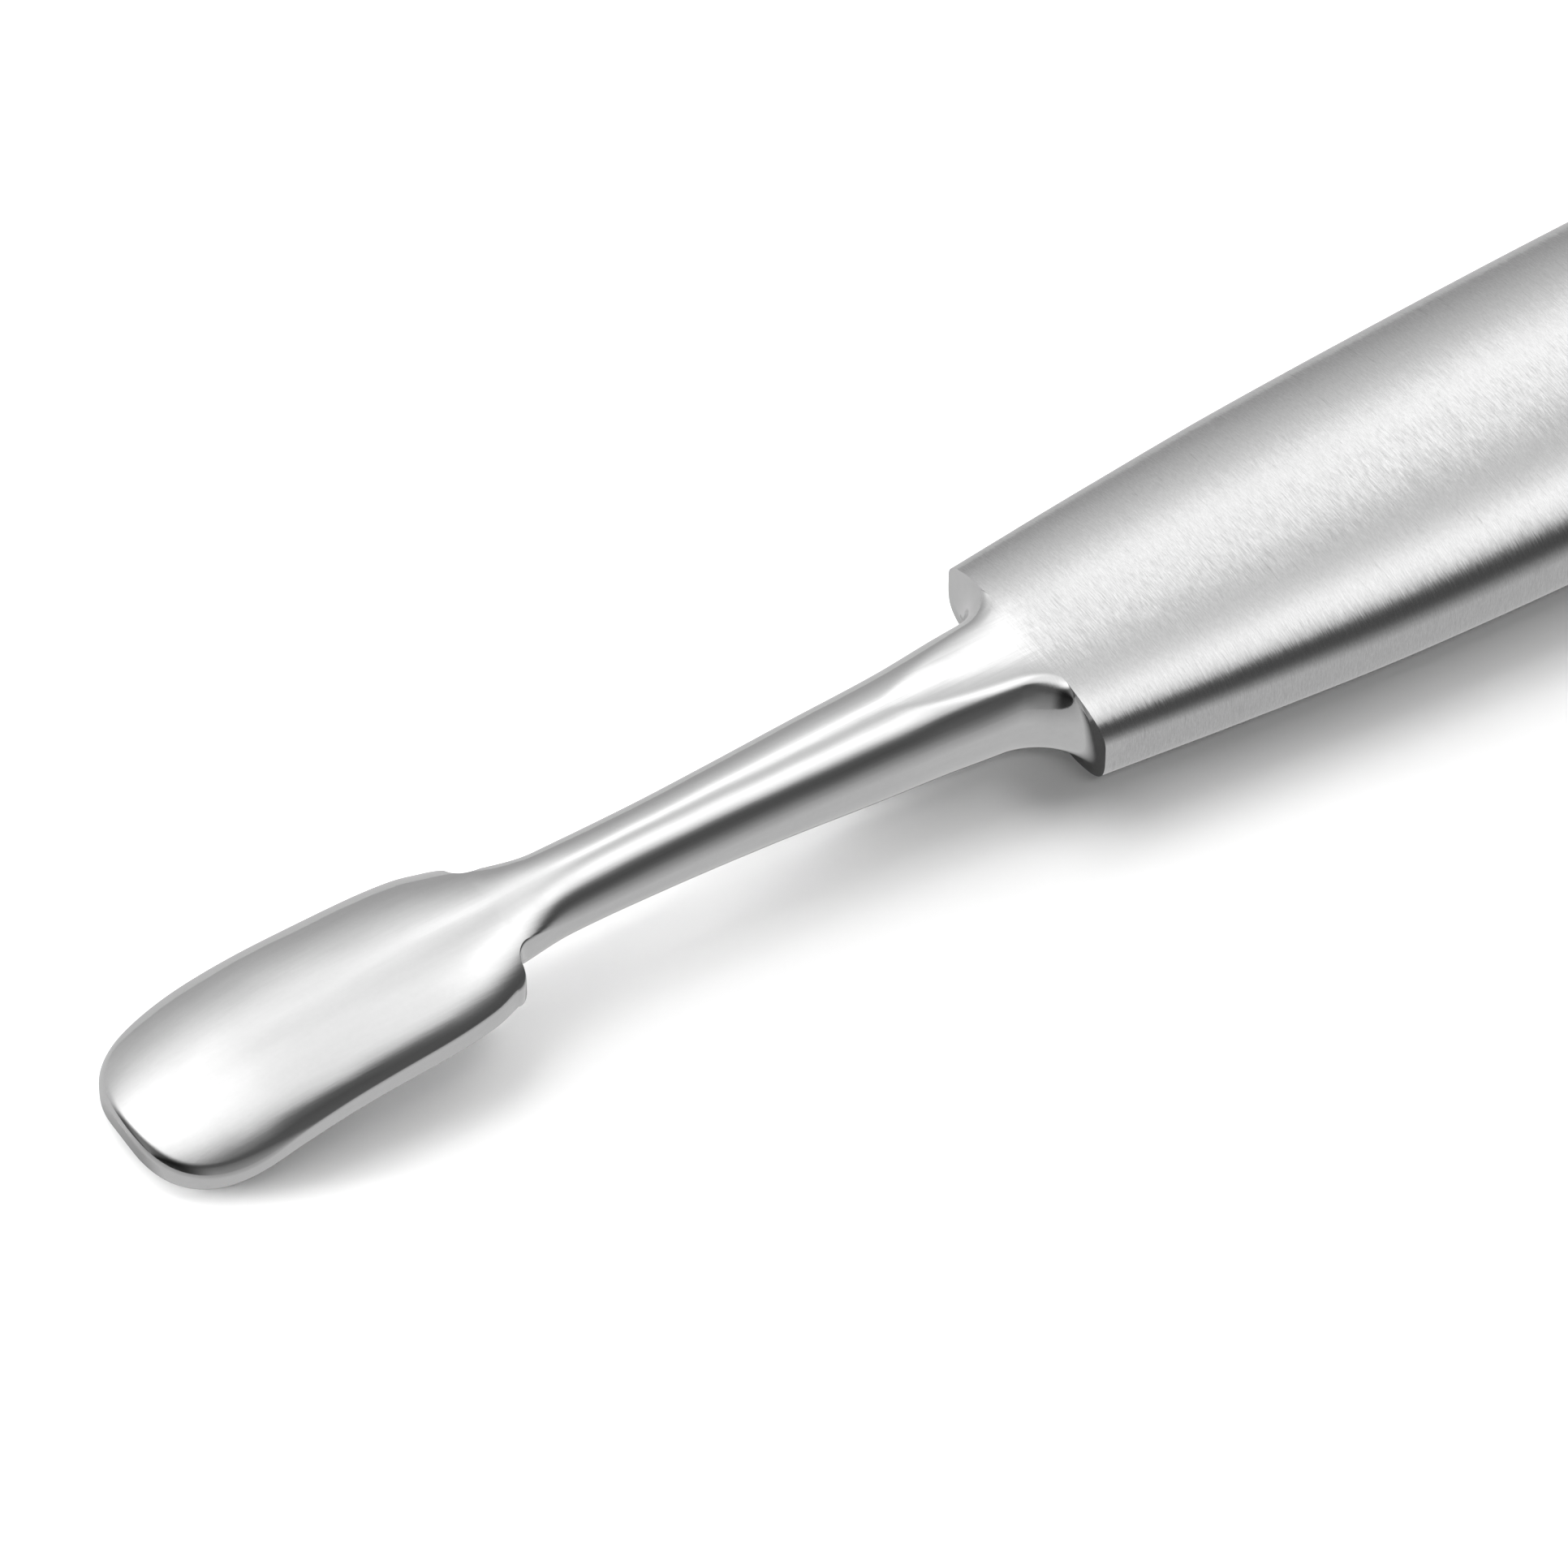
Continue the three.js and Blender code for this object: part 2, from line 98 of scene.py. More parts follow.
# Mesh resolution
ACROSS_POINTS, RIM_POINTS, SIDE_POINTS = 121, 4, 2001
NOSE_STEPS, BLADE_STEPS, HEEL_STEPS, NECK_STEPS, ROOT_STEPS = 44, 34, 12, 70, 30
SECTION_POINTS, SHELL_ACROSS, BODY_STEPS, BUTT_STEPS = 1200, 101, 150, 34


# ------------------------------------------------------------------ curves and lines
def curve(table):
    """smooth curve through the table that doesn't overshoot, held constant outside it"""
    xs, ys = np.array(table, float).T
    gap = np.diff(xs)
    rise = np.diff(ys) / gap
    slope = np.zeros(len(xs))
    for i in range(1, len(xs) - 1):
        if rise[i - 1] * rise[i] > 0:
            before, after = 2 * gap[i] + gap[i - 1], gap[i] + 2 * gap[i - 1]
            slope[i] = (before + after) / (before / rise[i - 1] + after / rise[i])
    slope[0], slope[-1] = rise[0], rise[-1]

    def value(x):
        x = np.clip(np.asarray(x, float), xs[0], xs[-1])
        i = np.clip(np.searchsorted(xs, x, side="right") - 1, 0, len(xs) - 2)
        t = (x - xs[i]) / gap[i]
        rest = 1 - t
        return ((1 + 2 * t) * rest * rest * ys[i] + t * rest * rest * gap[i] * slope[i]
                + t * t * (3 - 2 * t) * ys[i + 1] - t * t * rest * gap[i] * slope[i + 1])
    return value


def ease(start, end, x):
    t = np.clip((x - start) / (end - start), 0, 1)
    return t * t * (3 - 2 * t)


def arc_drop(reach, radius):
    """how far a quarter circle has fallen, at a distance reach from its flat start"""
    reach = np.clip(reach, 0, radius)
    return radius - np.sqrt(np.maximum(0, radius * radius - reach * reach))


def superellipse(cos, sin, power):
    return (abs(cos) ** power + abs(sin) ** power) ** (-1 / power)


def arc_length(line):
    steps = np.linalg.norm(np.diff(line, axis=0), axis=1)
    return np.concatenate([[0], np.cumsum(steps)])


def resample(at, keys, line):
    return np.stack([np.interp(at, keys, column) for column in line.T], -1)


half_width, top_height, edge_height = curve(HALF_WIDTH), curve(TOP_HEIGHT), curve(EDGE_HEIGHT)
neck_half, ridge, neck_bottom = curve(NECK_HALF), curve(RIDGE), curve(NECK_BOTTOM)
neck_power, root_rise = curve(NECK_POWER), curve(ROOT_RISE)
blade_width, rim_height, sag = curve(BLADE_HALF), curve(BLADE_T), curve(SAG)

HALF_0, EDGE_0, TOP_0 = float(half_width(0)), float(edge_height(0)), float(top_height(0))


def skin_top(x, y):
    """height of the handle's crown"""
    behind = x - X_SHOULDER
    edge = edge_height(behind)
    inside = np.maximum(0, 1 - np.abs(y / half_width(behind)) ** CROWN_POWER)
    return edge + (top_height(behind) - edge) * inside ** (1 / CROWN_POWER)


def blade_half(behind_tip):
    t = min(behind_tip / NOSE_L, 1)
    return float(blade_width(behind_tip)) * (1 - (1 - t) ** NOSE_POWER) ** (1 / NOSE_POWER)


# ------------------------------------------------------------------ mesh helpers
def smooth(mesh, sharp):
    mesh.shade_smooth()
    mesh.set_sharp_from_angle(angle=math.radians(sharp))


def add_object(name, mesh):
    piece = bpy.data.objects.new(name, mesh)
    bpy.context.scene.collection.objects.link(piece)
    return piece


def loops_to_mesh(name, rings, sharp):
    """closed, capped skin through rings of equal length"""
    n, count = len(rings[0]), len(rings)
    faces = []
    for i in range(count - 1):
        for j in range(n):
            a, b = i * n + j, i * n + (j + 1) % n
            faces.append((a, b, b + n, a + n))
    faces.append(tuple(range(n - 1, -1, -1)))
    faces.append(tuple(range((count - 1) * n, count * n)))
    mesh = bpy.data.meshes.new(name)
    mesh.from_pydata((np.vstack(rings) * MM).tolist(), [], faces)
    bm = bmesh.new()
    bm.from_mesh(mesh)
    bmesh.ops.remove_doubles(bm, verts=bm.verts, dist=2e-7)
    bmesh.ops.dissolve_degenerate(bm, edges=bm.edges, dist=1e-8)
    bmesh.ops.recalc_face_normals(bm, faces=bm.faces)
    bm.to_mesh(mesh)
    bm.free()
    smooth(mesh, sharp)
    return add_object(name, mesh)


# ------------------------------------------------------------------ working end
ACROSS = np.sin(np.linspace(-1, 1, ACROSS_POINTS) * math.pi / 2)    # -1 near side, 1 far side


def working_section(x, half):
    """upper line (near to far) and lower line (far to near) of the working end at x"""
    ahead = X_SHOULDER - x
    behind_tip = WORK_L - ahead
    top, bottom, power = float(ridge(ahead)), float(neck_bottom(ahead)), float(neck_power(ahead))
    middle = bottom + 0.5 * (top - bottom)
    to_blade = float(ease(*TOP_EASE, ahead))
    rise = float(root_rise(ahead))
    filleted = ahead < ROOT_FILLET_BOTTOM + 0.05
    bulge = np.maximum(0, 1 - np.abs(ACROSS) ** power) ** (1 / power)

    def fillet_radius(height):
        share = (ROOT_FILLET_BOTTOM - ROOT_FILLET_TOP) * (top - height) / (top - bottom)
        return ROOT_FILLET_TOP + share

    def flared(radius):
        return ACROSS * (half + arc_drop(x - (X_SHOULDER - radius), radius))

    z = middle + (top + rise - middle) * bulge
    y = half * ACROSS
    if filleted:
        y = flared(np.clip(fillet_radius(z), ROOT_FILLET_TOP, ROOT_FILLET_BOTTOM))
    # the crown of the handle, carried forward, caps the root with a small blend
    blend = max(0.5 * rise, 1e-6)
    cap = top - (1 + ROOT_CROWN_GAIN * max(ahead, 0.0)) * (TOP_0 - skin_top(X_SHOULDER, y))
    near_cap = np.maximum(blend - np.abs(z - cap), 0) / blend
    z = np.minimum(z, cap) - near_cap * near_cap * blend / 4
    # the blade's top line falls from the centre to the sides
    full = float(blade_width(behind_tip))
    span = SAG_SPAN * (full + SAG_NOSE * (blade_half(max(behind_tip, 0.05)) - full))
    out = np.minimum(np.abs(y) / span, 0.995)
    arc = top - float(sag(behind_tip)) * (1 - (1 - out ** SAG_POWER) ** (1 / SAG_POWER))
    z = z * (1 - to_blade) + arc * to_blade
    if filleted:
        under = middle - (middle - bottom) * bulge
        under_y = flared(fillet_radius(under))
    else:
        # the neck's belly runs out under the blade
        fade = float(ease(*UNDER_EASE, ahead))
        rim = float(rim_height(behind_tip))
        out = np.abs(y) / float(neck_half(ahead))
        low = bottom + (top - rim * 0.9 - bottom) * fade
        mid = middle + (top - rim * 0.9 - middle) * fade
        belly = mid - (mid - low) * np.maximum(0, 1 - out ** power) ** (1 / power)
        belly = np.where(out < 1, belly, 1e9)
        under, under_y = np.maximum(0, np.minimum(z - rim * to_blade, belly)), y
    xs = np.full(ACROSS_POINTS, x)
    return np.stack([xs, y, z], 1), np.stack([xs, under_y, under], 1)[::-1]


def working_stations():
    """(x, half width) from the tip to the shoulder"""
    out = []
    for i in range(NOSE_STEPS + 1):
        behind_tip = max(NOSE_L * (1 - math.cos(i / NOSE_STEPS * QUARTER)), 0.0005)
        out.append((X_TIP + behind_tip, blade_half(behind_tip)))
    x_heel = X_SHOULDER - NECK_L
    start, end = X_TIP + NOSE_L, x_heel - HEEL_CORNER
    for i in range(1, BLADE_STEPS):
        x = start + (end - start) * i / BLADE_STEPS
        out.append((x, blade_half(x - X_TIP)))
    half = blade_half(end - X_TIP)
    for i in range(HEEL_STEPS + 1):
        angle = i / HEEL_STEPS * QUARTER
        out.append((end + HEEL_CORNER * math.sin(angle),
                    half - HEEL_CORNER * (1 - math.cos(angle))))
    start, end = x_heel + HEEL_FILLET, X_SHOULDER - ROOT_FILLET_BOTTOM
    half = float(neck_half(X_SHOULDER - start))
    for i in range(HEEL_STEPS + 1):
        angle = i / HEEL_STEPS * QUARTER
        # kept just behind the heel plane, clear of the ring before it
        out.append((x_heel + max(HEEL_FILLET * (1 - math.cos(angle)), 0.003),
                    half + HEEL_FILLET * (1 - math.sin(angle))))
    xs = [start + (end - start) * i / NECK_STEPS for i in range(1, NECK_STEPS + 1)]
    xs += [X_SHOULDER - ROOT_FILLET_BOTTOM * (1 - math.sin(i / ROOT_STEPS * QUARTER))
           for i in range(1, ROOT_STEPS + 1)]
    return out + [(x, float(neck_half(X_SHOULDER - x))) for x in xs]


def roll_edge(x, half, top):
    """lowers the top line near the blade's outline, to soften its upper edge"""
    behind_tip = x - X_TIP
    to_side = float(ease(NOSE_L * 0.6, NOSE_L * 1.3, behind_tip))
    radius = ROLL_NOSE + (ROLL_SIDE - ROLL_NOSE) * to_side
    radius *= float(ease(*ROLL_EASE, X_SHOULDER - x))
    y = np.abs(top[:, 1])
    from_side = np.maximum(half - y, 0)
    out = np.clip(y / float(blade_width(behind_tip)), 0, 1)
    nose_line = NOSE_L * (1 - (1 - out ** NOSE_POWER) ** (1 / NOSE_POWER))
    from_nose = np.maximum(behind_tip - nose_line, 0)
    distance = from_side
    if behind_tip < NOSE_L:
        distance = from_nose * from_side / np.maximum(np.hypot(from_nose, from_side), 1e-9)
    top[:, 2] -= np.minimum(arc_drop(radius - distance, radius), 0.8 * radius)


def make_room(line, room):
    """moves the points near both ends inwards along the line, leaving a length free at each end"""
    length = arc_length(line)
    full = length[-1]
    zone = min(4 * room, 0.5 * full)
    at = np.where(length < zone, room + (zone - room) * length / zone, length)
    at = np.where(full - length < zone,
                  full - (room + (zone - room) * (full - length) / zone), at)
    return resample(at, length, line)


def corner(start, peak, end):
    """points from start to end that round the corner at peak"""
    t = np.linspace(0, 1, RIM_POINTS)[:, None]
    return (1 - t) ** 2 * start + 2 * t * (1 - t) * peak + t * t * end


def working_ring(x, half):
    """one closed section, with its rim corners softened where there is room"""
    top, under = working_section(x, half)
    roll_edge(x, half, top)
    radius = min(RIM_R, max(top[-1][2] - under[0][2], 0) * 0.4, half * 0.3)
    if radius > 0.004:
        upper, lower = make_room(top, radius), make_room(under, radius)
        down, up = under[0] - top[-1], top[0] - under[-1]
        down = down / np.linalg.norm(down) * radius
        up = up / np.linalg.norm(up) * radius
        far = [corner(upper[-1], top[-1], top[-1] + down),
               corner(under[0] - down, under[0], lower[0])]
        near = [corner(lower[-1], under[-1], under[-1] + up),
                corner(top[0] - up, top[0], upper[0])]
    else:
        upper, lower = top, under
        far = [[top[-1]] * RIM_POINTS, [under[0]] * RIM_POINTS]
        near = [[under[-1]] * RIM_POINTS, [top[0]] * RIM_POINTS]
    return np.vstack([upper[1:-1], *far, lower[1:-1], *near])


def shoulder_side(y_start):
    """far half of the handle's outline at the shoulder, from the crown at y_start to the belly"""
    side = [(X_SHOULDER, y_start, float(skin_top(X_SHOULDER, y_start)))]
    for angle in np.linspace(QUARTER, -QUARTER, SIDE_POINTS):
        cos, sin = math.cos(angle), math.sin(angle)
        radius = superellipse(cos, sin, CROWN_POWER if sin >= 0 else BELLY_POWER)
        y = HALF_0 * radius * cos
        if sin >= 0:
            if y <= y_start + 1e-6:
                continue
            z = EDGE_0 + (TOP_0 - EDGE_0) * radius * sin
        else:
            z = max(EDGE_0 + (EDGE_0 + FLAT_CUT) * radius * sin, 0)
        side.append((X_SHOULDER, y, z))
    return np.array(side)


def shoulder_outline(root):
    """the last neck ring, spread in the shoulder plane to the handle's outline"""
    n, top_n = len(root), ACROSS_POINTS - 2
    # top points that already lie on the crown stay where they are
    flush = [i for i in range(top_n)
             if abs(root[i][2] - float(skin_top(X_SHOULDER, root[i][1]))) < 1e-6]
    first, last = flush[0], flush[-1]
    bottom = int(np.argmin(np.where(np.arange(n) > top_n, np.abs(root[:, 1]), 9)))
    side = shoulder_side(root[last][1])
    length = arc_length(side)
    outline = np.zeros_like(root)
    outline[first:last + 1] = root[first:last + 1]
    far_n, near_n = bottom - last, (first - bottom) % n
    for i in range(1, far_n + 1):
        outline[last + i] = resample(length[-1] * i / far_n, length, side)
    for i in range(1, near_n):
        mirrored = resample(length[-1] * i / near_n, length, side) * (1, -1, 1)
        outline[(first - i) % n] = mirrored
    return outline


def carried(outline, behind):
    """the shoulder outline, fitted to the handle further back"""
    edge = float(edge_height(behind))
    y = outline[:, 1] * float(half_width(behind)) / HALF_0
    inside = np.maximum(0, 1 - np.abs(outline[:, 1] / HALF_0) ** BELLY_POWER)
    low = edge - (edge + FLAT_CUT) * inside ** (1 / BELLY_POWER)
    z = np.where(outline[:, 2] >= EDGE_0 - 1e-9,
                 skin_top(X_SHOULDER + behind, y), np.maximum(0, low))
    return np.stack([np.full(len(outline), X_SHOULDER + behind), y, z], 1)


def working_end():
    rings = [working_ring(x, half) for x, half in working_stations()]
    outline = shoulder_outline(rings[-1])
    bolster = [carried(outline, behind) for behind in (0.4, 0.8, 1.2, BOLSTER_L)]
    return loops_to_mesh("working_end_v", rings + [outline] + bolster, sharp=33)


def tang():
    """flat bar that runs back from the bolster into the handle"""
    name = "working_end_tang_v"
    low = (X_BOLSTER - 0.02, -TANG_W / 2, TANG_Z - TANG_T / 2)
    high = (X_BOLSTER + TANG_L, TANG_W / 2, TANG_Z + TANG_T / 2)
    bm = bmesh.new()
    bmesh.ops.create_cube(bm, size=1.0)
    for vert in bm.verts:
        vert.co = Vector([(a + b) / 2 + c * (b - a) for a, b, c in zip(low, high, vert.co)]) * MM
    bmesh.ops.bevel(bm, geom=bm.edges[:], offset=TANG_BEVEL * MM, segments=3,
                    affect="EDGES", profile=0.5)
    mesh = bpy.data.meshes.new(name)
    bm.to_mesh(mesh)
    bm.free()
    smooth(mesh, sharp=40)
    return add_object(name, mesh)


# ------------------------------------------------------------------ handle shells
OUTER, INNER, RIM = 1, 2, 0    # values of the face attribute "kind"


def handle_outline(x, inset):
    """closed section of the handle: far edge first, then over the top, near edge, underneath"""
    behind, end = x - X_SHOULDER, HANDLE_L - inset

    def rounding(length):
        return math.sqrt(max(0.0, 1 - max(0.0, (behind - (end - length)) / length) ** 2))

    top, bottom, edge = float(top_height(behind)) - inset, inset, float(edge_height(behind))
    half = (float(half_width(behind)) - inset) * max(rounding(BUTT_ROUND), 0.03)
    middle, squash = (top + bottom) / 2, max(rounding(BUTT_PILLOW), 0.25)
    angle = np.linspace(0, 2 * math.pi, SECTION_POINTS, endpoint=False)
    cos, sin = np.cos(angle), np.sin(angle)
    radius = superellipse(cos, sin, np.where(sin >= 0, CROWN_POWER, BELLY_POWER))
    bulge = radius * np.abs(sin)
    z = np.where(sin >= 0, edge + (top - edge) * bulge,
                 np.maximum(edge - (edge - bottom + FLAT_CUT) * bulge, bottom))
    return np.stack([np.full(SECTION_POINTS, x), half * (radius * cos),
                     middle + (z - middle) * squash], 1)


def skin_grid(inset):
    """sections along the handle and their outward normals"""
    butt = X_SHOULDER + HANDLE_L - inset - BUTT_ROUND
    xs = [X_BOLSTER + (butt - X_BOLSTER) * (i / BODY_STEPS) ** 1.1 for i in range(BODY_STEPS)]
    xs += [butt + BUTT_ROUND * math.sin(i / BUTT_STEPS * QUARTER) for i in range(BUTT_STEPS + 1)]
    rows = np.array([handle_outline(x, inset) for x in xs])
    rows_ahead = np.array([handle_outline(x - 0.004, inset) for x in xs])
    around = np.roll(rows, -1, 1) - np.roll(rows, 1, 1)
    normals = np.cross(around, rows - rows_ahead)
    normals /= np.linalg.norm(normals, axis=2)[:, :, None] + 1e-15
    spokes = rows - rows.mean(1, keepdims=True)
    facing = np.sum(spokes[:, :, 1:] * normals[:, :, 1:], axis=2, keepdims=True)
    return rows, normals * np.sign(facing.sum(1, keepdims=True))


def strip(outline, normals, upper):
    """the part of a section above or below the seam, resampled, with its normals"""
    low, high = outline[:, 2].min(), outline[:, 2].max()
    z_cut = min(SEAM_Z, low + 0.62 * (high - low))
    total = len(outline)
    wanted = (outline[:, 2] > z_cut) == upper
    both = np.hstack([outline, normals])

    def cross(i, j):
        share = (z_cut - both[i][2]) / (both[j][2] - both[i][2])
        return both[i] + share * (both[j] - both[i])

    start = next(i for i in range(total) if wanted[i] and not wanted[i - 1])
    stop = start
    while wanted[stop % total]:
        stop += 1
    run = np.vstack([cross(start - 1, start), both[np.arange(start, stop) % total],
                     cross((stop - 1) % total, stop % total)])
    # points gather where the skin turns
    length, turn = arc_length(run[:, :3]), arc_length(run[:, 3:])
    key = length / length[-1] + 0.8 * turn / turn[-1]
    run = resample(np.linspace(0, key[-1], SHELL_ACROSS), key, run)
    points, normals = run[:, :3], run[:, 3:]
    return points, normals / np.linalg.norm(normals, axis=1)[:, None]


def shell(name, upper):
    verts, skin_normals = [], []
    for outer, outer_n, inner, inner_n in zip(*skin_grid(0.0), *skin_grid(WALL)):
        outer, outer_n = strip(outer, outer_n, upper)
        inner, _ = strip(inner, inner_n, upper)
        verts += [outer, inner]
        skin_normals += [outer_n, outer_n]
    n = SHELL_ACROSS
    step = 2 * n    # one section: outer line, then inner line
    rows = len(verts) // 2
    faces, kinds = [], []
    for i in range(rows - 1):
        for j in range(n - 1):
            a = i * step + j
            b = a + n
            faces.append((a, a + 1, a + 1 + step, a + step))
            faces.append((b + 1, b, b + step, b + 1 + step))
            kinds += [OUTER, INNER]
        for j in (0, n - 1):
            a = i * step + j
            faces.append((a, a + n, a + n + step, a + step))
            kinds.append(RIM)
    for i in (0, rows - 1):
        for j in range(n - 1):
            a = i * step + j
            faces.append((a, a + 1, a + n + 1, a + n))
            kinds.append(RIM)
    mesh = bpy.data.meshes.new(name)
    mesh.from_pydata((np.vstack(verts) * MM).tolist(), [], faces)
    bm = bmesh.new()
    bm.from_mesh(mesh)
    layer = bm.faces.layers.int.new("kind")
    bm.faces.ensure_lookup_table()
    for face, kind in zip(bm.faces, kinds):
        face[layer] = kind
    bmesh.ops.recalc_face_normals(bm, faces=bm.faces)
    bm.to_mesh(mesh)
    bm.free()
    smooth(mesh, sharp=38)
    # both shells take their outer normals from the whole skin, so it shades as one
    skin_normals = np.vstack(skin_normals)
    loop_normals = np.array([tuple(normal.vector) for normal in mesh.corner_normals])
    for polygon, kind in zip(mesh.polygons, kinds):
        if kind == OUTER:
            for i in polygon.loop_indices:
                loop_normals[i] = skin_normals[mesh.loops[i].vertex_index]
    mesh.normals_split_custom_set([tuple(normal) for normal in loop_normals])
    return add_object(name, mesh)


# ------------------------------------------------------------------ shader graph helper
class Graph:
    def __init__(self, owner):
        owner.use_nodes = True
        self.tree = owner.node_tree
        self.tree.nodes.clear()

    def new(self, kind, inputs=None, **props):
        """adds a node; each input is a value or a socket to link from"""
        node = self.tree.nodes.new(kind)
        for name, value in props.items():
            setattr(node, name, value)
        for key, value in (inputs or {}).items():
            if isinstance(value, bpy.types.NodeSocket):
                self.tree.links.new(value, node.inputs[key])
            else:
                node.inputs[key].default_value = value
        return node

    def math(self, operation, a, b=0.0, c=0.0, clamp=False):
        return self.new("ShaderNodeMath", {0: a, 1: b, 2: c},
                        operation=operation, use_clamp=clamp).outputs[0]

    def add(self, a, b):
        return self.math("ADD", a, b)

    def mul(self, value, gain):
        return self.math("MULTIPLY", value, gain)

    def swing(self, noise, gain):
        """noise centred on zero"""
        return self.mul(self.math("SUBTRACT", noise, 0.5), gain)

    def around(self, mean, noise, gain):
        """noise centred on a mean"""
        return self.add(mean - gain / 2, self.mul(noise, gain))

    def vector(self, operation, inputs):
        return self.new("ShaderNodeVectorMath", inputs, operation=operation).outputs[0]

    def remap(self, value, source, target=(0.0, 1.0), smooth=False):
        inputs = {"Value": value, "From Min": source[0], "From Max": source[1],
                  "To Min": target[0], "To Max": target[1]}
        return self.new("ShaderNodeMapRange", inputs, clamp=True,
                        interpolation_type="SMOOTHSTEP" if smooth else "LINEAR").outputs["Result"]

    def mix(self, factor, a, b):
        return self.new("ShaderNodeMix", {0: factor, 2: a, 3: b}, data_type="FLOAT").outputs[0]

    def noise(self, point, stretch=None, scale=1.0, detail=2.0, rough=0.5):
        if stretch:
            point = self.vector("MULTIPLY", {0: point, 1: stretch})
        inputs = {"Vector": point, "Scale": scale, "Detail": detail, "Roughness": rough}
        return self.new("ShaderNodeTexNoise", inputs, noise_dimensions="3D").outputs["Fac"]

    def grey(self, value):
        return self.new("ShaderNodeCombineColor", {0: value, 1: value, 2: value}).outputs[0]

    def separate(self, vector):
        return self.new("ShaderNodeSeparateXYZ", {0: vector}).outputs

    def point_mm(self):
        place = self.new("ShaderNodeTexCoord").outputs["Object"]
        return self.vector("SCALE", {0: place, 3: 1000.0})

    def ray(self, kind):
        return self.new("ShaderNodeLightPath").outputs[kind]

    def surface(self, node, output="ShaderNodeOutputMaterial"):
        self.new(output, {"Surface": node.outputs[0]})


def new_material(name):
    material = bpy.data.materials.new(name)
    return material, Graph(material)


# ------------------------------------------------------------------ metals
FADE_FRONT, FADE_BACK, FADE_RAG = 1.1, 0.9, 1.6    # polish to brush at the shoulder, mm
TILT_FINE, TILT_MID = 0.14, 0.02                   # sideways tilt of the normal, brushed
TILT_WAVE, TILT_LINES = 0.04, 0.02                 # the same, polished
BUMP_BRUSH, BUMP_POLISH = 0.6, 0.10
ROUGH_BRUSH, ROUGH_POLISH, ANISO = 0.16, 0.085, 0.6
GREY_BRUSH, GREY_POLISH = 0.5, 0.58
METAL_ON_FLOOR = 0.3    # metal colour for light it bounces onto the table, darker than it looks: painted shade on the table
